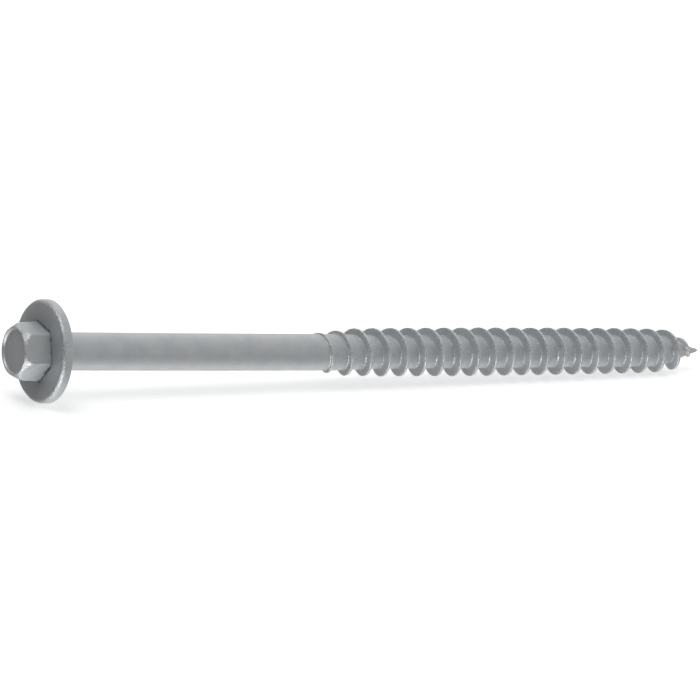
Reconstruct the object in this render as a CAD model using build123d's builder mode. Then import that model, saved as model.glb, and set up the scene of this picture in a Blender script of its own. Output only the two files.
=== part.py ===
"""Hex washer-head lag screw for timber, forged and rolled in one piece, lying at rest on the plane z = 0.

The screw is drawn along its own axis, +X from the bearing face of its washer to the point. It is then
laid down on the rim of the washer and on the last full turn of its thread.
"""

from build123d import *
from math import atan2, cos, degrees, pi, radians, sin, tan
import os

# The whole screw. Lengths are in millimetres and angles in degrees.
under_head_length = 152.4
roll_at_rest = -18.0

# Hex head with a crowned rim and a shallow dished top, turned a little against the start of the thread.
hex_across_flats = 9.65
hex_height = 5.25
hex_draft = 3.0
hex_corner_radius = 0.3
hex_turn = 5.0
crown_diameter = 9.1
crown_angle = 45.0
dish_diameter = 8.6
dish_floor_diameter = 8.0
dish_depth = 0.55

# Washer forged to the head.
washer_diameter = 19.05
washer_thickness = 2.0
washer_edge = 0.4
neck_cone = 0.7

# Shank, the core under the thread and the point.
shank_diameter = 7.0
root_diameter = 6.4
point_angle = 33.0
point_flat = 0.24
tip_lead = 0.51

# Rolled thread, right-handed, six turns to the inch.
thread_pitch = 25.4 / 6
thread_turns = 22
thread_diameter = 9.5
thread_end_diameter = 8.85
thread_taper_length = 32.0
head_flank = 24.0
tip_flank = 30.0
run_out_gap = 0.5
run_in_length = 10.5
run_in_power = 0.6
crest_cone_angle = 54.0

# Each turn of the thread's edges is made of this many arc-like splines, with slopes taken over this part
# of a turn.
pieces_per_turn = 8
slope_step = 0.02

# Sizes that follow.
hex_top = -washer_thickness - hex_height
washer_radius = washer_diameter / 2
shank_radius = shank_diameter / 2
root_radius = root_diameter / 2
thread_radius = thread_diameter / 2
thread_end_radius = thread_end_diameter / 2
point_slope = tan(radians(point_angle / 2))
crest_cone_slope = tan(radians(crest_cone_angle / 2))
point_start = under_head_length - (root_radius - point_flat / 2) / point_slope
thread_end = under_head_length - tip_lead
thread_start = thread_end - thread_turns * thread_pitch
shank_end = thread_start - run_out_gap
crown_run = (hex_across_flats - crown_diameter / 2) * tan(radians(crown_angle))


def core_radius(x):
    """Radius of the core: the shank, its easing to the root after the first turn, the root, the point."""
    if x > point_start:
        return root_radius - (x - point_start) * point_slope
    eased = min(max((x - thread_start - thread_pitch) / run_in_length, 0), 1)
    return shank_radius + (root_radius - shank_radius) * eased


def crest_height(x):
    """Height of the crest over the core: it rises out of the shank, runs level and closes on the point."""
    along = min(max((x - thread_start) / run_in_length, 0), 1)
    run_in = shank_radius + (thread_radius - shank_radius) * along**run_in_power
    worn = min(max(1 - (point_start - x) / thread_taper_length, 0), 1)
    level = thread_radius + (thread_end_radius - thread_radius) * worn
    cone = core_radius(thread_end) + (thread_end - x) * crest_cone_slope
    return max(min(run_in, level, cone) - core_radius(x), 0)


def outward(turn):
    """Direction from the axis to the crest, turning clockwise from the top as seen from the head."""
    return Vector(0, -sin(2 * pi * turn), cos(2 * pi * turn))


def edge_points(turn):
    """The three edges of the ridge in the plane of its crest: head foot, crest, tip foot."""
    x = thread_start + turn * thread_pitch
    height = crest_height(x)
    head_foot = x - height * tan(radians(head_flank))
    tip_foot = x + height * tan(radians(tip_flank))
    places = [(head_foot, core_radius(head_foot)), (x, core_radius(x) + height)]
    places.append((tip_foot, core_radius(tip_foot)))
    return [Vector(place, 0, 0) + outward(turn) * radius for place, radius in places]


def edge_slopes(turn):
    """How fast each edge moves along the helix, for a whole piece of a turn.

    The part across the axis is a little longer, as an arc's cubic needs, so that the line keeps its radius.
    """
    before = max(turn - slope_step, 0)
    after = min(turn + slope_step, thread_turns)
    reach = 1 / (after - before) / pieces_per_turn
    arc = 2 * pi / pieces_per_turn
    lengthened = 4 * tan(arc / 4) / arc
    moves = [(end - start) * reach for start, end in zip(edge_points(before), edge_points(after))]
    return [Vector(move.X, move.Y * lengthened, move.Z * lengthened) for move in moves]


def edge_lines(piece):
    """Splines along the three edges of the ridge for one piece of a turn."""
    first = piece / pieces_per_turn
    last = (piece + 1) / pieces_per_turn
    ends = zip(edge_points(first), edge_points(last))
    slopes = zip(edge_slopes(first), edge_slopes(last))
    return [Edge.make_spline(p, t, parameters=[0.0, 1.0], scale=False) for p, t in zip(ends, slopes)]


def ring_arcs(x, radius):
    """Circle round the axis in as many arcs as a turn has pieces, clockwise from the top."""
    arcs = []
    for piece in range(pieces_per_turn):
        start = outward(piece / pieces_per_turn)
        plane = Plane(origin=(x, 0, 0), x_dir=start, z_dir=(1, 0, 0))
        arcs.append(Edge.make_circle(radius, plane=plane, end_angle=360 / pieces_per_turn))
    return arcs


# The threaded length is a closed skin of ruled faces: two flanks and the root along the helix.
pieces = thread_turns * pieces_per_turn
lines = [edge_lines(piece) for piece in range(pieces)]
skin = []
for piece, (head_foot, crest, tip_foot) in enumerate(lines):
    skin.append(Face.make_surface_from_curves(head_foot, crest))
    skin.append(Face.make_surface_from_curves(crest, tip_foot))
    if piece + pieces_per_turn < pieces:
        skin.append(Face.make_surface_from_curves(tip_foot, lines[piece + pieces_per_turn][0]))
shank_ring = ring_arcs(shank_end, shank_radius)
tip_ring = ring_arcs(under_head_length, point_flat / 2)
for piece in range(pieces_per_turn):
    skin.append(Face.make_surface_from_curves(shank_ring[piece], lines[piece][0]))
    skin.append(Face.make_surface_from_curves(lines[piece - pieces_per_turn][2], tip_ring[piece]))
skin.append(Face(Wire(shank_ring)))
skin.append(Face(Wire(tip_ring)))
threaded_length = Solid(Shell(skin))

with BuildPart() as screw:
    # Hex head: a drafted prism whose corners run out in a crowned rim.
    with BuildSketch(Plane(origin=(-washer_thickness, 0, 0), x_dir=(0, 0, 1), z_dir=(-1, 0, 0))):
        RegularPolygon(hex_across_flats / 2, 6, major_radius=False, rotation=hex_turn)
    extrude(amount=hex_height, taper=hex_draft)
    corners = screw.edges().filter_by(lambda edge: abs(edge.tangent_at(0.5).X) > 0.9)
    fillet(corners, hex_corner_radius)
    with BuildSketch(Plane.XZ):
        with BuildLine():
            Polyline(
                (hex_top, 0),
                (hex_top, crown_diameter / 2),
                (hex_top + crown_run, hex_across_flats),
                (0, hex_across_flats),
                (0, 0),
                close=True,
            )
        make_face()
    revolve(axis=Axis.X, mode=Mode.INTERSECT)

    # Washer and plain shank, turned as one profile.
    with BuildSketch(Plane.XZ) as turned:
        with BuildLine():
            Polyline(
                (-washer_thickness, 0),
                (-washer_thickness, washer_radius),
                (0, washer_radius),
                (0, shank_radius + neck_cone),
                (neck_cone, shank_radius),
                (shank_end, shank_radius),
                (shank_end, 0),
                close=True,
            )
        make_face()
        chamfer(turned.vertices().group_by(Axis.Y)[-1], washer_edge)
    revolve(axis=Axis.X)

    # Dish in the top of the head.
    with BuildSketch(Plane.XZ):
        with BuildLine():
            Polyline(
                (hex_top, 0),
                (hex_top, dish_diameter / 2),
                (hex_top + dish_depth, dish_floor_diameter / 2),
                (hex_top + dish_depth, 0),
                close=True,
            )
        make_face()
    revolve(axis=Axis.X, mode=Mode.SUBTRACT)

    # The threaded length joins the plain shank at its flat end.
    add(threaded_length)


def tilt_on(x):
    """Tilt of the axis when the screw lies on the washer's rim and on the crest at x."""
    fall = washer_radius - core_radius(x) - crest_height(x)
    return atan2(fall, x + washer_edge)


# Laid down: the crest faces the floor once a turn, and the first such place to touch holds the screw up.
lowest_turns = [turn + 0.5 - roll_at_rest / 360 for turn in range(thread_turns)]
tilt = min(tilt_on(thread_start + turn * thread_pitch) for turn in lowest_turns)
axis_height = washer_radius * cos(tilt) - washer_edge * sin(tilt)
middle = (hex_top + under_head_length) / 2
rest = Pos(-middle * cos(tilt), 0, axis_height) * Rot(0, degrees(tilt), 0) * Rot(roll_at_rest, 0, 0)

with BuildPart() as lag_screw:
    with Locations(rest):
        add(screw.part)

os.makedirs("parts", exist_ok=True)
lag_screw.part.label = "lag_screw"
export_step(lag_screw.part, "parts/lag_screw.step")
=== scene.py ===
import math
import bpy
import numpy as np
from mathutils import Matrix, Vector


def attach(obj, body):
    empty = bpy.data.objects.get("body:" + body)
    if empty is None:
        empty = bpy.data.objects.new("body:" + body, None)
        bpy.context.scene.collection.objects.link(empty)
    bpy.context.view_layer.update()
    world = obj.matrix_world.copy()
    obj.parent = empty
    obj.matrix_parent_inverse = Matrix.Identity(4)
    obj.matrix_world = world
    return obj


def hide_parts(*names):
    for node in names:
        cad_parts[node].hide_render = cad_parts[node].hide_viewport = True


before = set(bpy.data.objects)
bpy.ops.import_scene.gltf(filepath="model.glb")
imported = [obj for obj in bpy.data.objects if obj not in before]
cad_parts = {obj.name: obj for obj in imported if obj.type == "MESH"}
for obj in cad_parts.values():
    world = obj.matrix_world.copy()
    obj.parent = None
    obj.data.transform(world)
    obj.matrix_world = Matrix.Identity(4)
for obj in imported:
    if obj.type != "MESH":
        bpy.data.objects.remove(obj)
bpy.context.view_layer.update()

print("frame loaded")

mm = 0.001
fullTurn = 2 * math.pi

# How the screw lies: on the washer's rim and on one crest, a little tipped along its length.
lay = {
    "tilt": 2.05612,            # degrees, head end up
    "roll": -18.0,              # degrees about the axis
    "axisHeight": 9.50452,      # mm, middle of the bearing face over the floor
    "middle": 72.575,           # mm from the bearing face to the middle of the length
    "length": 152.4,            # mm from the bearing face to the point
    "bow": 0.2,                 # mm that the middle of the screw sags, as rolled screws do
    "bowLength": 118,           # mm to where the sag ends and the point begins to rise
}


# Placement: the axis runs along s from the bearing face; angle 0 is the top, turning clockwise seen from
# the head. Rolled about the axis, tipped about Y, then lifted to its height.
def placePoints(s, radius, angle):
    y = -radius * np.sin(angle)
    z = radius * np.cos(angle) - lay["bow"] * np.sin(np.maximum(s, 0) / lay["bowLength"] * math.pi)
    roll, tilt = math.radians(lay["roll"]), math.radians(lay["tilt"])
    rolledY = y * math.cos(roll) - z * math.sin(roll)
    rolledZ = y * math.sin(roll) + z * math.cos(roll)
    x = s * math.cos(tilt) + rolledZ * math.sin(tilt) - lay["middle"] * math.cos(tilt)
    up = -s * math.sin(tilt) + rolledZ * math.cos(tilt) + lay["axisHeight"]
    return np.stack([x, rolledY, up], axis=-1) * mm


# A direction given along the axis, towards the viewer's side and towards the top, in the scene.
def placeDirection(along, side, top):
    roll, tilt = math.radians(lay["roll"]), math.radians(lay["tilt"])
    y = -side * math.cos(roll) - top * math.sin(roll)
    z = -side * math.sin(roll) + top * math.cos(roll)
    return Vector((along * math.cos(tilt) + z * math.sin(tilt), y, -along * math.sin(tilt) + z * math.cos(tilt)))


# Smooth greater of two: the maximum, plus a parabola where they are nearer than reach.
def smoothMax(a, b, reach):
    return np.maximum(a, b) + np.maximum(reach - np.abs(a - b), 0) ** 2 / (4 * reach)


# Smooth lesser of two, the same way.
def smoothMin(a, b, reach):
    return -smoothMax(-a, -b, reach)


# Unevenness: a sum of plane waves of about the given size through the metal, from -1 to 1.
def unevenness(s, radius, angle, size, seed, count=14):
    rng = np.random.default_rng(seed)
    y, z = radius * np.sin(angle), radius * np.cos(angle)
    total = np.zeros(np.broadcast(s, angle).shape)
    for wave in range(count):
        direction = rng.normal(size=3)
        direction *= rng.uniform(0.6, 1.5) * fullTurn / size / np.linalg.norm(direction)
        total = total + np.sin(direction[0] * s + direction[1] * y + direction[2] * z + rng.uniform(0, fullTurn))
    return total / math.sqrt(count) / 1.6


# Colours are written as sRGB hex and turned to linear.
def hexColour(text):
    values = [int(text[i:i + 2], 16) / 255 for i in (0, 2, 4)]
    return [v / 12.92 if v <= 0.04045 else ((v + 0.055) / 1.055) ** 2.4 for v in values] + [1.0]


# Adds a node, sets its properties and fills its sockets with values or links.
def addNode(tree, kind, sockets, **settings):
    node = tree.nodes.new(kind)
    for name, value in settings.items():
        setattr(node, name, value)
    for socket, value in sockets.items():
        if isinstance(value, bpy.types.NodeSocket):
            tree.links.new(value, node.inputs[socket])
        else:
            node.inputs[socket].default_value = value
    return node


# Makes a mesh object from points, faces and a value at each point for wear and painted highlight, below 0 for painted
# shade.
def makePiece(name, points, faces, paintedLightAndWear, rugged):
    mesh = bpy.data.meshes.new(name)
    mesh.from_pydata(points.tolist(), [], faces)
    mesh.update()
    mesh.polygons.foreach_set("use_smooth", np.ones(len(mesh.polygons), dtype=bool))
    for label, values in (("paintedLightAndWear", paintedLightAndWear), ("rugged", rugged)):
        attribute = mesh.attributes.new(label, "FLOAT", "POINT")
        attribute.data.foreach_set("value", values.astype(np.float32))
    piece = bpy.data.objects.new(name, mesh)
    bpy.context.scene.collection.objects.link(piece)
    return piece


# Quads between the rows of a grid of rings, each ring closed, with the index of its first point.
def ringFaces(rows, columns, first=0):
    row, column = np.meshgrid(np.arange(rows - 1), np.arange(columns), indexing="ij")
    after = (column + 1) % columns
    here, there = first + row * columns, first + (row + 1) * columns
    return np.stack([here + column, here + after, there + after, there + column], axis=-1).reshape(-1, 4).tolist()


head = {
    "columns": 144,
    "top": -7.2,
    "base": -1.6,
    "halfFlatsTop": 4.6,        # half the width across flats at the top
    "halfFlatsBase": 4.83,
    "sharpness": 70,            # how tight the corners are
    "turned": math.radians(5),  # against the start of the thread
    "crownRadius": 4.42,        # where the crown begins at the top of the head
    "crownSlope": 1 / math.tan(math.radians(53)),
    "crownReach": 0.35,
}


# Hexagon with rounded corners: the power mean of its six flats' distances, with a corner at the top.
def hexRadius(halfFlats, angle, sharpness):
    total = 0
    for flat in range(6):
        facing = np.maximum(np.cos(angle + head["turned"] - (flat + 0.5) * fullTurn / 6), 0)
        total = total + (facing / halfFlats) ** sharpness
    return total ** (-1 / sharpness)


# ---- Shank, thread and washer -------------------------------------------------------------------------

shank = {
    "columns": 84,              # points round the axis
    "washerRadius": 9.52,
    "washerBack": -2.1,
    "backEdge": 0.85,           # rounding of the rim on the head's side
    "frontEdge": 0.15,          # rounding of the rim on the bearing side
    "radius": 3.5,
    "neckReach": 0.9,           # fillet from the bearing face to the shank
    "rootRadius": 3.2,
    "pointSlope": 0.296,        # tangent of the point's half angle
    "pointRadius": 0.18,
}

thread = {
    "rows": 38,                 # points across one pitch
    "pitch": 25.4 / 6,
    "start": 58.76,            # crest at the top, turn 0
    "gridStart": -2.25,         # turns from the start where the helical grid begins
    "gridEnd": 151.6,
    "crestWidth": 0.46,
    "crestRound": 0.035,
    "headFlank": math.tan(math.radians(17)),
    "tipFlank": math.tan(math.radians(22)),
    "rootReach": 0.15,
    # Crest radius along the screw: it rises out of the shank, runs level, tapers and closes on the point.
    "stations": [57.6, 58.5, 59.2, 61, 63, 65, 67, 69, 72, 88, 102, 114, 129, 140, 143, 145.5, 147, 149.8, 151.6],
    "radii": [2.6, 3.6, 3.95, 4.0, 4.18, 4.52, 4.6, 4.63, 4.69, 4.77, 4.79, 4.75, 4.68, 4.52, 4.36, 3.95, 3.1, 1.3, 0.5],
}


# Core: the shank, easing to the root over the first turns, then the point's cone.
def coreRadius(s):
    eased = np.clip((s - thread["start"] - thread["pitch"]) / 10, 0, 1)
    level = shank["radius"] + (shank["rootRadius"] - shank["radius"]) * eased
    cone = shank["pointRadius"] + (lay["length"] - s) * shank["pointSlope"]
    return smoothMin(level, cone, 0.4)


# Threaded surface: the core joined by a fillet to a ridge whose radius falls from its rounded crest down
# two flanks. The distance from the crest follows the helix. Also gives how near the crest a point is, as wear and
# painted highlight, plus a painted highlight along the fillet at the foot of the head-side flank.
def threadRadius(s, angle):
    turns = (s - thread["start"]) / thread["pitch"] - angle / fullTurn
    wander = 0.06 * unevenness(s, 4.0, angle, 5.0, 3) + 0.025 * unevenness(s, 4.0, angle, 1.3, 4)
    apart = (turns - np.round(turns)) * thread["pitch"]
    crestPlace = s - apart
    rise = np.interp(crestPlace, thread["stations"], thread["radii"])
    rise = rise + 0.03 * unevenness(s, 4.0, angle, 4.0, 5) * np.clip((rise - 3.6) * 2, 0, 1)
    apart = apart + wander
    beyond = np.abs(apart) - thread["crestWidth"] / 2
    fall = (beyond + np.sqrt(beyond ** 2 + thread["crestRound"] ** 2)) / 2
    ridge = rise - fall / np.where(apart < 0, thread["headFlank"], thread["tipFlank"])
    core = coreRadius(s)
    radius = smoothMax(core, ridge, thread["rootReach"])
    # Wear and painted highlight along the crest's edges.
    paintedLightAndWear = np.clip(1 - np.abs(beyond) / 0.2, 0, 1) * np.clip((rise - core) / 0.6, 0, 1)
    # Painted highlight along the fillet at the foot of the head-side flank.
    foot = np.clip(1 - np.abs(ridge - core + 0.05) / 0.2, 0, 1) * (apart < 0) * np.clip((rise - core) / 0.6, 0, 1)
    paintedLightAndWear = paintedLightAndWear + 0.8 * foot
    return radius + 0.006 * unevenness(s, 4.0, angle, 0.9, 6), paintedLightAndWear


# Places across one pitch, closer together where the ridge bends: equal steps of its length plus turning.
def pitchSteps():
    places = np.linspace(-0.5, 0.5, 4001) * thread["pitch"]
    beyond = np.abs(places) - thread["crestWidth"] / 2
    fall = (beyond + np.sqrt(beyond ** 2 + thread["crestRound"] ** 2)) / 2
    ridge = 4.7 - fall / np.where(places < 0, thread["headFlank"], thread["tipFlank"])
    radius = smoothMax(np.full_like(places, shank["rootRadius"]), ridge, thread["rootReach"])
    slope = np.arctan(np.gradient(radius, places))
    weight = np.sqrt(1 + np.gradient(radius, places) ** 2) + 0.45 * np.abs(np.gradient(slope, places))
    travelled = np.concatenate([[0], np.cumsum((weight[1:] + weight[:-1]) / 2)])
    wanted = np.arange(thread["rows"]) / thread["rows"] * travelled[-1]
    return np.interp(wanted, travelled, places)


# Washer, neck and plain shank: one turned profile as (s, radius), with arcs at its roundings.
def turnedProfile():
    back, rim, backEdge, frontEdge = shank["washerBack"], shank["washerRadius"], shank["backEdge"], shank["frontEdge"]
    arc = np.linspace(0, math.pi / 2, 9)
    flat = np.concatenate([np.linspace(0.5, 4.2, 6), np.linspace(4.5, 6.6, 18), np.linspace(7.0, rim - backEdge, 8)])
    neck = shank["neckReach"]
    backFace = np.stack([np.full_like(flat, back), flat], axis=-1)
    backRound = np.stack([back + backEdge * (1 - np.cos(arc)), rim - backEdge * (1 - np.sin(arc))], axis=-1)
    frontRound = np.stack([frontEdge * (np.sin(arc) - 1), rim - frontEdge * (1 - np.cos(arc))], axis=-1)
    inward = np.linspace(rim - frontEdge, shank["radius"] + neck, 8)[1:]
    frontFace = np.stack([np.zeros_like(inward), inward], axis=-1)
    neckRound = np.stack([neck * (1 - np.cos(arc)), shank["radius"] + neck * (1 - np.sin(arc))], axis=-1)
    gridStart = thread["start"] + (thread["gridStart"] - 0.5) * thread["pitch"]
    plain = np.linspace(neck, gridStart - 0.6, 60)[1:]
    plainShank = np.stack([plain, np.full_like(plain, shank["radius"])], axis=-1)
    return np.concatenate([backFace, backRound[1:], frontRound, frontFace, neckRound[1:], plainShank])


columns, rows = shank["columns"], thread["rows"]
turned = turnedProfile()
phi = np.arange(columns) / columns * fullTurn
# The seam of the helical grid lies at the far side, three quarters of a turn from the top.

seamAngle = 0.75 * fullTurn
s = turned[:, :1] + 0 * phi
radius = turned[:, 1:] + 0 * phi
angle = seamAngle + phi + 0 * s
rimward = np.clip((radius - 4) / 2, 0, 1)
radius = radius + 0.004 * unevenness(s, 4.0, angle, 1.1, 6) * np.where(s > 0.9, 1, 0)
radius = radius + 0.02 * rimward * np.clip((8.9 - radius) * -4, 0, 1) * (unevenness(s, 9.0, angle, 3.0, 9) - 1)
s = s + np.where(radius > 3.9, 0.025 * unevenness(s, radius, angle, 2.5, 10) - 0.02 * np.sign(s + 1), 0)
# Seam by the hex's base on the washer: a shallow groove, also used below for painted shade.
seam = np.abs(radius - hexRadius(head["halfFlatsBase"], angle, head["sharpness"]) - 0.05) / 0.6
broken = np.clip(0.55 + 0.7 * unevenness(s, radius, angle, 1.2, 21), 0, 1)
seam = np.clip(1 - seam, 0, 1) * (s < -1) * broken
s = s + 0.12 * seam ** 2
# Washer value: painted highlight along the rim's head-side rounding; painted shade in the seam and on the face, darker
# towards the hex.
washerHighlightAndShade = (0.75 * np.clip(1 - np.abs(radius - 9.2) / 0.4, 0, 1) * (s < -1.2) - seam)
washerHighlightAndShade = (washerHighlightAndShade - 0.55 * np.clip(1 - (radius - 5.2) / 3.2, 0, 1) * (s < -1.2)).reshape(-1)
turnedPoints = placePoints(s, radius, angle).reshape(-1, 3)

helixRows = np.arange(26 * rows + 1)
steps = pitchSteps()
along = (helixRows // rows) * thread["pitch"] + steps[helixRows % rows]
gridBase = thread["start"] + (thread["gridStart"] - 0.0) * thread["pitch"]
nominal = gridBase + along[:, None] + phi[None, :] / fullTurn * thread["pitch"]
lastRow = int(np.searchsorted(gridBase + along, thread["gridEnd"]))
nominal = nominal[:lastRow + 1]
endNominal = gridBase + along[lastRow]
gridS = np.interp(nominal, [0, endNominal, endNominal + thread["pitch"]], [0, endNominal, lay["length"] - 0.12])
gridAngle = seamAngle + phi[None, :] + 0 * gridS
gridRadius, threadWearAndHighlight = threadRadius(gridS, gridAngle)
gridPoints = placePoints(gridS, gridRadius, gridAngle).reshape(-1, 3)

gridFirst = len(turnedPoints)
ringLast = gridFirst - columns
gridRows = lastRow + 1
faces = ringFaces(len(turned), columns)
row, column = np.meshgrid(np.arange(gridRows - 1), np.arange(columns - 1), indexing="ij")
corner = gridFirst + row * columns + column
faces += np.stack([corner, corner + 1, corner + columns + 1, corner + columns], axis=-1).reshape(-1, 4).tolist()
row = np.arange(gridRows - 1 - rows)
before = gridFirst + row * columns + columns - 1
beyond = gridFirst + (row + rows) * columns
faces += np.stack([before, beyond, beyond + columns, before + columns], axis=-1).tolist()
column = np.arange(columns - 1)
faces += np.stack([ringLast + column, ringLast + column + 1, gridFirst + column + 1, gridFirst + column], axis=-1).tolist()
faces.append([ringLast + columns - 1, ringLast] + [gridFirst + k * columns for k in range(rows + 1)] + [gridFirst + columns - 1])
tipFirst = gridFirst + gridRows * columns
tipPoints = placePoints(np.full(columns, lay["length"] - 0.05), np.full(columns, shank["pointRadius"] * 0.8), seamAngle + phi)
gridLast = tipFirst - columns
faces += np.stack([gridLast + column, gridLast + column + 1, tipFirst + column + 1, tipFirst + column], axis=-1).tolist()
seamEnd = [gridFirst + k * columns + columns - 1 for k in range(gridRows - 1 - rows, gridRows)]
faces.append([seamEnd[-1], *seamEnd[-2::-1]][::-1][:0] + seamEnd[:1] + [gridLast, tipFirst, tipFirst + columns - 1] + seamEnd[:0:-1])
poles = np.concatenate([
    placePoints(np.array([lay["length"] - 0.01]), np.zeros(1), np.zeros(1)),
    placePoints(np.array([shank["washerBack"]]), np.zeros(1), np.zeros(1)),
])
tipPole = tipFirst + columns
backPole = tipPole + 1
ring = np.arange(columns)
after = (ring + 1) % columns
faces += np.stack([tipFirst + ring, tipFirst + after, np.full_like(ring, tipPole)], axis=-1).tolist()
faces += np.stack([after, ring, np.full_like(ring, backPole)], axis=-1).tolist()
shankPoints = np.concatenate([turnedPoints, gridPoints, tipPoints, poles])
shankPaintedLightAndWear = np.concatenate([washerHighlightAndShade, threadWearAndHighlight.reshape(-1), np.ones(columns), np.zeros(2)])
threaded = np.clip((gridS - thread["start"] + 1) / 3, 0, 1).reshape(-1)
rimRugged = (np.clip((radius - 8.6) / 0.5, 0, 1) * np.clip(-s / 1.5, 0.2, 1)).reshape(-1)
shankRugged = np.concatenate([rimRugged, threaded, np.ones(columns), np.zeros(2)])
shankPiece = makePiece("screw_shank", shankPoints, faces, shankPaintedLightAndWear, shankRugged)
print("shank", len(shankPoints), "points")


# ---- Head ----------------------------------------------------------------------------------------------

# Top of the head as (s, radius): dished floor, a soft wall, then the rounded rim.
dishProfile = np.array([
    (0.46, 0.4), (0.47, 1.0), (0.48, 1.7), (0.49, 2.4), (0.5, 3.0), (0.5, 3.6), (0.49, 3.82), (0.43, 3.94),
    (0.34, 4.01), (0.24, 4.06), (0.15, 4.11), (0.07, 4.16), (0.02, 4.23), (0.0, 4.3), (0.01, 4.37), (0.03, 4.42),
])
headPhi = np.arange(head["columns"]) / head["columns"] * fullTurn
depth = np.concatenate([np.linspace(0.07, 0.95, 26), np.linspace(1.05, head["base"] - head["top"], 26)])
sideS = head["top"] + depth[:, None] + 0 * headPhi
draft = (depth / (head["base"] - head["top"]))[:, None]
flats = head["halfFlatsTop"] + (head["halfFlatsBase"] - head["halfFlatsTop"]) * draft ** 1.3
sharpness = head["sharpness"] * np.clip(0.4 + 0.25 * depth[:, None], 0, 1)
sideRadius = hexRadius(flats + 0 * headPhi, headPhi[None, :], sharpness)
crown = head["crownRadius"] + (depth[:, None] - 0.03) * head["crownSlope"]
# Painted highlight where the crown cuts the hex corners; painted shade on the hex near its base.
crownGlintAndBaseShade = np.clip(1 - np.abs(sideRadius - crown) / 0.25, 0, 1) - np.clip(1 - (-1.95 - sideS) / 0.35, 0, 1)
sideRadius = smoothMin(sideRadius, crown + 0 * headPhi, head["crownReach"])
sideRadius = sideRadius + 0.03 * unevenness(sideS, 5.0, headPhi[None, :], 2.2, 12)
nearBase = np.clip(1 - (-2.0 - sideS) / 0.5, 0, 1)
sideRadius = sideRadius + (0.12 * nearBase ** 2 + 0.05 * nearBase) * unevenness(sideS, 5.0, headPhi[None, :], 0.9, 22)
dishS = head["top"] + dishProfile[:, :1] + 0 * headPhi
dishRadius = dishProfile[:, 1:] + 0 * headPhi
dishS = dishS + 0.02 * unevenness(dishS, dishRadius, headPhi[None, :], 1.5, 13)
# Painted highlight on the ring of the crown's rim.
crownRingHighlight = np.clip(1 - np.abs(dishRadius - 4.32) / 0.15, 0, 1)
headS = np.concatenate([dishS, sideS])
headRadius = np.concatenate([dishRadius, sideRadius])
headPoints = placePoints(headS, headRadius, headPhi + 0 * headS).reshape(-1, 3)
headPoles = placePoints(np.array([head["top"] + 0.46, head["base"]]), np.zeros(2), np.zeros(2))
count = head["columns"]
faces = ringFaces(len(headS), count)
ring = np.arange(count)
after = (ring + 1) % count
lastRing = len(headPoints) - count
faces += np.stack([after, ring, np.full_like(ring, len(headPoints))], axis=-1).tolist()
faces += np.stack([lastRing + ring, lastRing + after, np.full_like(ring, len(headPoints) + 1)], axis=-1).tolist()
headPaintedLightAndWear = np.concatenate([crownRingHighlight.reshape(-1), crownGlintAndBaseShade.reshape(-1), np.zeros(2)])
headRugged = np.clip(np.abs(headPaintedLightAndWear), 0, 1)
headPiece = makePiece("hex_head", np.concatenate([headPoints, headPoles]), faces, headPaintedLightAndWear, headRugged)
print("head", len(headPoints), "points")


# ---- Hot-dip galvanised zinc: matte, faintly mottled, with lighter wear and painted highlights, and painted shade ---

zinc = {
    "dull": "C3C7CA",
    "pale": "CBCED0",
    # lighter colour for wear and painted highlights
    "wearAndHighlight": "F2F3F4",
    "speck": "A4A8AB",
    # painted shade colour, at the seam and the hex's base and on the washer's face near the hex
    "paintedShade": "707477",
    "mottle": 3.0,              # mm across a patch
    "grain": 0.34,              # mm, drawn coarser than the real crystals so that it shows
    "roughness": 0.46,
    "metallic": 0.42,
}


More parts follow.
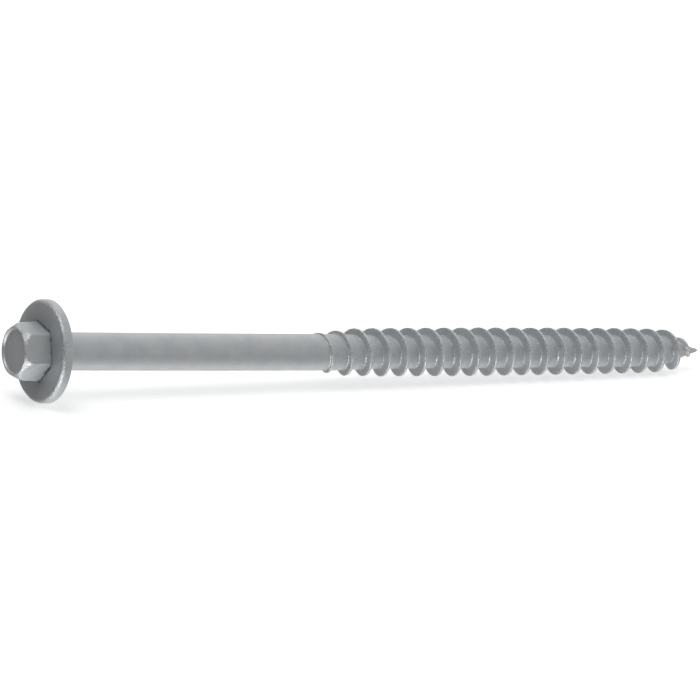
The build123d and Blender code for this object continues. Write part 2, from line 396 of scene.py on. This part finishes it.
def galvanisedZinc():
    material = bpy.data.materials.new("hot-dip galvanised zinc")
    material.use_nodes = True
    tree = material.node_tree
    tree.nodes.clear()
    place = addNode(tree, "ShaderNodeTexCoord", {}).outputs["Object"]
    mottle = addNode(tree, "ShaderNodeTexNoise", {"Vector": place, "Scale": 1000 / zinc["mottle"], "Detail": 4.0})
    grain = addNode(tree, "ShaderNodeTexNoise", {"Vector": place, "Scale": 1000 / zinc["grain"], "Detail": 3.0})
    patches = addNode(tree, "ShaderNodeTexVoronoi", {"Vector": place, "Scale": 1000 / 1.1})
    paintedLightAndWear = addNode(tree, "ShaderNodeAttribute", {}, attribute_name="paintedLightAndWear").outputs["Fac"]
    rugged = addNode(tree, "ShaderNodeAttribute", {}, attribute_name="rugged").outputs["Fac"]
    tone = addNode(tree, "ShaderNodeMapRange", {"Value": mottle.outputs["Fac"], 1: 0.35, 2: 0.65})
    base = addNode(tree, "ShaderNodeMix", {0: tone.outputs[0], 6: hexColour(zinc["dull"]), 7: hexColour(zinc["pale"])},
                   data_type="RGBA")
    speckMask = addNode(tree, "ShaderNodeMapRange", {"Value": patches.outputs["Distance"], 1: 0.05, 2: 0.09, 3: 0.7, 4: 0.0})
    specked = addNode(tree, "ShaderNodeMix", {0: speckMask.outputs[0], 6: base.outputs[2], 7: hexColour(zinc["speck"])},
                      data_type="RGBA")
    patchy = addNode(tree, "ShaderNodeMapRange", {"Value": grain.outputs["Fac"], 1: 0.42, 2: 0.62})
    # Lighter colour where the value is above 0: wear and painted highlights.
    wearAndHighlight = addNode(tree, "ShaderNodeMath", {0: paintedLightAndWear, 1: patchy.outputs[0]}, operation="MULTIPLY", use_clamp=True)
    pits = addNode(tree, "ShaderNodeMapRange", {"Value": grain.outputs["Fac"], 1: 0.52, 2: 0.36})
    pitted = addNode(tree, "ShaderNodeMath", {0: rugged, 1: pits.outputs[0]}, operation="MULTIPLY", use_clamp=True)
    pitFactor = addNode(tree, "ShaderNodeMath", {0: pitted.outputs[0], 1: 0.35}, operation="MULTIPLY")
    rough1 = addNode(tree, "ShaderNodeMix", {0: pitFactor.outputs[0], 6: specked.outputs[2], 7: hexColour(zinc["speck"])},
                     data_type="RGBA")
    colour = addNode(tree, "ShaderNodeMix", {0: wearAndHighlight.outputs[0], 6: rough1.outputs[2], 7: hexColour(zinc["wearAndHighlight"])},
                     data_type="RGBA")
    # Painted shade where the value is below 0.
    paintedShadeMask = addNode(tree, "ShaderNodeMath", {0: paintedLightAndWear, 1: -0.8}, operation="MULTIPLY", use_clamp=True)
    shadeDarkened = addNode(tree, "ShaderNodeMix", {0: paintedShadeMask.outputs[0], 6: colour.outputs[2], 7: hexColour(zinc["paintedShade"])},
                     data_type="RGBA")
    rough = addNode(tree, "ShaderNodeMapRange", {"Value": wearAndHighlight.outputs[0], 3: zinc["roughness"], 4: 0.24})
    roughening = addNode(tree, "ShaderNodeMapRange", {"Value": rugged, 3: 0.3, 4: 1.0})
    fine = addNode(tree, "ShaderNodeBump", {"Height": grain.outputs["Fac"], "Strength": roughening.outputs[0], "Distance": 0.0001})
    bump = addNode(tree, "ShaderNodeBump", {"Height": mottle.outputs["Fac"], "Strength": 0.1, "Distance": 0.0001,
                                            "Normal": fine.outputs[0]})
    shader = addNode(tree, "ShaderNodeBsdfPrincipled", {
        "Base Color": shadeDarkened.outputs[2], "Metallic": zinc["metallic"], "Roughness": rough.outputs[0], "Normal": bump.outputs[0]})
    addNode(tree, "ShaderNodeOutputMaterial", {"Surface": shader.outputs[0]})
    return material


zincMaterial = galvanisedZinc()
for piece in (shankPiece, headPiece):
    piece.data.materials.append(zincMaterial)
    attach(piece, "root")
    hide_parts("lag_screw")
print("zinc")


# ---- Studio --------------------------------------------------------------------------------------------

studio = {
    "floorSize": 6.0,
    "floorColour": "F4F4F4",
    "across": 0.97,
    "darkSide": -0.03,
    "brightSide": 0.82,
    "topBox": 0.12,
    "lowBox": 1.6,
    "topSpot": 3.4,
    "lowSpot": 6.0,
    "farSpot": 0.5,
    "under": 0.0,
    "lamp": 0.6,
}

mesh = bpy.data.meshes.new("studio_floor")
half = studio["floorSize"] / 2
mesh.from_pydata([(-half, -half, 0), (half, -half, 0), (half, half, 0), (-half, half, 0)], [], [(0, 1, 2, 3)])
floor = bpy.data.objects.new("studio_floor", mesh)
bpy.context.scene.collection.objects.link(floor)
paper = bpy.data.materials.new("white studio paper")
paper.use_nodes = True
tree = paper.node_tree
tree.nodes.clear()
path = addNode(tree, "ShaderNodeLightPath", {})
diffuse = addNode(tree, "ShaderNodeBsdfDiffuse", {"Color": hexColour(studio["floorColour"])})
glow = addNode(tree, "ShaderNodeEmission", {"Color": (1, 1, 1, 1), "Strength": 0.45})
under = addNode(tree, "ShaderNodeEmission", {"Color": (1, 1, 1, 1), "Strength": studio["under"]})
lifted = addNode(tree, "ShaderNodeMixShader", {0: path.outputs["Is Camera Ray"], 1: under.outputs[0], 2: glow.outputs[0]})
both = addNode(tree, "ShaderNodeAddShader", {0: diffuse.outputs[0], 1: lifted.outputs[0]})
addNode(tree, "ShaderNodeOutputMaterial", {"Surface": both.outputs[0]})
floor.data.materials.append(paper)
floor.visible_glossy = False    # the tent goes on below the paper, as round a hung object
floor.visible_diffuse = False

world = bpy.data.worlds.new("studio_tent")
bpy.context.scene.world = world
world.use_nodes = True
tree = world.node_tree
tree.nodes.clear()
path = addNode(tree, "ShaderNodeLightPath", {})
direction = addNode(tree, "ShaderNodeTexCoord", {}).outputs["Generated"]
# Tent: darker past the head, lighter past the point, with a soft box above and one below.
brightSide = placeDirection(studio["across"], -math.sqrt(1 - studio["across"] ** 2), 0)
facing = addNode(tree, "ShaderNodeVectorMath", {0: direction, 1: brightSide}, operation="DOT_PRODUCT")
level = addNode(tree, "ShaderNodeMapRange", {
    "Value": facing.outputs["Value"], 1: -1.0, 2: 1.0, 3: studio["darkSide"], 4: studio["brightSide"]}).outputs[0]
for place, reach, strength in (
        ((0, 0, 1), (0.6, 0.9), studio["topBox"]), ((-0.35, 0.1, -0.93), (0.6, 0.9), studio["lowBox"]),
        ((-0.45, 0.45, 0.76), (0.92, 0.98), studio["topSpot"]), ((-0.45, 0.45, -0.76), (0.92, 0.98), studio["lowSpot"]),
        ((0.56, -0.41, -0.72), (0.8, 0.97), studio["farSpot"])):
    toward = addNode(tree, "ShaderNodeVectorMath", {0: direction, 1: placeDirection(*place).normalized()},
                     operation="DOT_PRODUCT")
    shine = addNode(tree, "ShaderNodeMapRange", {
        "Value": toward.outputs["Value"], 1: reach[0], 2: reach[1], 3: 0.0, 4: strength}, interpolation_type="SMOOTHSTEP")
    level = addNode(tree, "ShaderNodeMath", {0: level, 1: shine.outputs[0]}, operation="ADD").outputs[0]
tent = addNode(tree, "ShaderNodeBackground", {"Color": (1, 1, 1, 1), "Strength": level})
white = addNode(tree, "ShaderNodeBackground", {"Color": (1, 1, 1, 1), "Strength": 1.0})
sky = addNode(tree, "ShaderNodeMixShader", {0: path.outputs["Is Camera Ray"], 1: tent.outputs[0], 2: white.outputs[0]})
addNode(tree, "ShaderNodeOutputWorld", {"Surface": sky.outputs[0]})


# Soft lamp aimed at the middle of the screw.
def softLamp(name, place, size, power):
    lamp = bpy.data.lights.new(name, "AREA")
    lamp.shape = "DISK"
    lamp.size = size
    lamp.energy = power
    holder = bpy.data.objects.new(name, lamp)
    holder.location = place
    holder.rotation_euler = (Vector((0, 0, 0)) - Vector(place)).to_track_quat("-Z", "Y").to_euler()
    bpy.context.scene.collection.objects.link(holder)


softLamp("top_lamp", placeDirection(0.3, -0.5, 0.8).normalized() * 0.9, 0.9, studio["lamp"])
print("studio")


# ---- Camera --------------------------------------------------------------------------------------------

view = {
    "lens": 185.97,
    "axisAngle": 56.02,         # degrees between the screw's axis and the line of sight
    "distance": 658.5,          # mm to the plane of the bearing face
    "aside": 55.0,              # mm that the bearing face lies left of the line of sight
    "below": -0.23,
}

along, side, top = placeDirection(1, 0, 0), placeDirection(0, 1, 0), placeDirection(0, 0, 1)
turn = math.radians(view["axisAngle"])
right = math.sin(turn) * along + math.cos(turn) * side
ahead = math.cos(turn) * along - math.sin(turn) * side
tilt = math.radians(lay["tilt"])
bearing = Vector((-lay["middle"] * math.cos(tilt), 0, lay["axisHeight"]))
place = (bearing + view["aside"] * right - view["below"] * top - view["distance"] * ahead) * mm
data = bpy.data.cameras.new("photo_camera")
data.lens = view["lens"]
data.sensor_width = 36.0
data.clip_end = 20.0
camera = bpy.data.objects.new("photo_camera", data)
matrix = Matrix.Identity(4)
for index, column in enumerate((right, top, -ahead, place)):
    for axis in range(3):
        matrix[axis][index] = column[axis]
camera.matrix_world = matrix
bpy.context.scene.collection.objects.link(camera)
bpy.context.scene.camera = camera
bpy.context.scene.view_settings.view_transform = "Standard"
print("camera")
